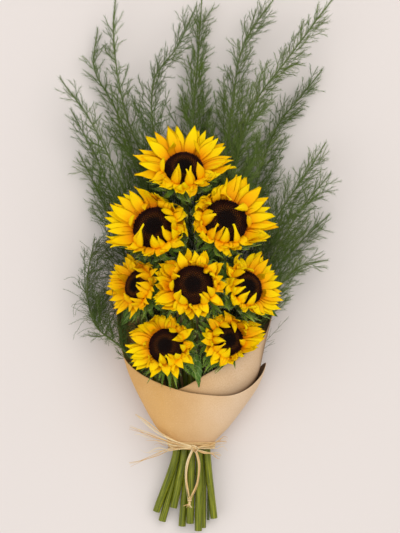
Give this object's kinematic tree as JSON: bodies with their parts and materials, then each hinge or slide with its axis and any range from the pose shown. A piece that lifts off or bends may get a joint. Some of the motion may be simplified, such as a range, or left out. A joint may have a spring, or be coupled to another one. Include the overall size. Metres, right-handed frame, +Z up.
{
  "type": "bunch of sunflowers",
  "caption": "Hand-tied bouquet of sunflowers with asparagus fern in a kraft paper cone, bound with raffia and lying on its back.",
  "frame": {"origin": "middle of the flat underside of the paper wrap, on the surface the bouquet lies on", "axes": "+X across the bouquet, +Y from the cut stems to the fern tips, +Z up out of the surface towards the viewer"},
  "size_m": [0.3371, 0.6501, 0.1449],
  "materials": {
    "petal": "soft satin golden yellow ray petals, orange at the root",
    "disc": "matt near-black brown florets with a golden-brown ring",
    "greenery": "hairy olive green stems, bracts and leaves",
    "fern": "matt grey-green needles on thin stems",
    "kraft_paper": "smooth matt tan kraft paper with soft creases",
    "raffia": "dry pale straw raffia"
  },
  "bodies": {
    "root": {"petals_top": "petal", "disc_top": "disc", "stem_top": "greenery", "petals_left": "petal", "disc_left": "disc", "stem_left": "greenery", "petals_right": "petal", "disc_right": "disc", "stem_right": "greenery", "petals_left_lower": "petal", "disc_left_lower": "disc", "stem_left_lower": "greenery", "petals_centre": "petal", "disc_centre": "disc", "stem_centre": "greenery", "petals_right_lower": "petal", "disc_right_lower": "disc", "stem_right_lower": "greenery", "petals_bottom_left": "petal", "disc_bottom_left": "disc", "stem_bottom_left": "greenery", "petals_bottom_right": "petal", "disc_bottom_right": "disc", "stem_bottom_right": "greenery", "fern_left_low": "fern", "fern_left_1": "fern", "fern_left_2": "fern", "fern_left_3": "fern", "fern_left_4": "fern", "fern_left_5": "fern", "fern_arched": "fern", "fern_middle": "fern", "fern_right_1": "fern", "fern_right_2": "fern", "fern_right_3": "fern", "fern_right_4": "fern", "fern_right_5": "fern", "fern_right_6": "fern", "fern_right_7": "fern", "kraft_wrap": "kraft_paper", "raffia_band": "raffia", "raffia_bow": "raffia"}
  },
  "joints": []
}
